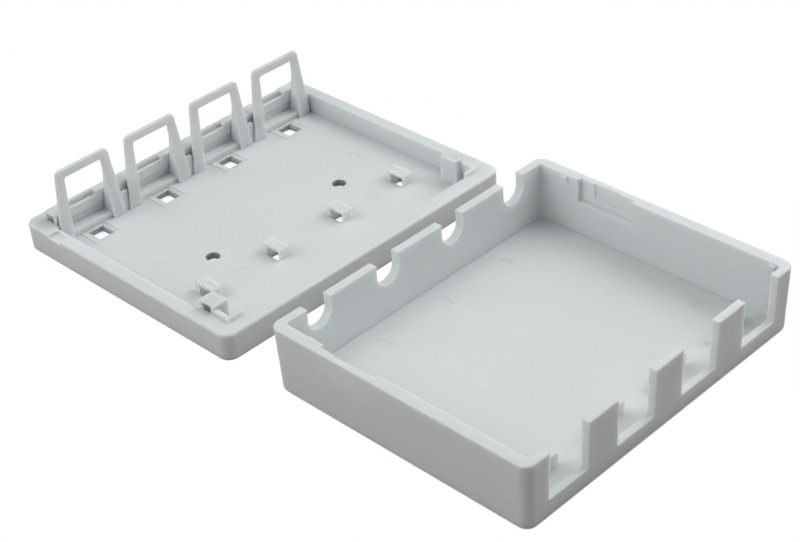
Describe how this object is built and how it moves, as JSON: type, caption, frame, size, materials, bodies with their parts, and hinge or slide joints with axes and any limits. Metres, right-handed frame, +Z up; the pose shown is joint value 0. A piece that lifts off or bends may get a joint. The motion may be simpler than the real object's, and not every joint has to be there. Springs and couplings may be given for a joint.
{
  "type": "surface mount outlet box",
  "caption": "Injection moulded plastic housing: an open wall tray with a row of upright outlet frames, and its clip-on cover lying upside down beside it.",
  "frame": {"origin": "middle of the footprint of both pieces, on the surface they lie on", "axes": "+X along the row of outlets, +Y from the cover to the tray's outlet edge, +Z up"},
  "size_m": [0.112, 0.1984, 0.0262],
  "materials": {
    "tray_plastic": "fine matt",
    "cover_plastic": "fine matt"
  },
  "bodies": {
    "root": {"base_tray": "tray_plastic", "cover_shell": "cover_plastic"}
  },
  "joints": []
}
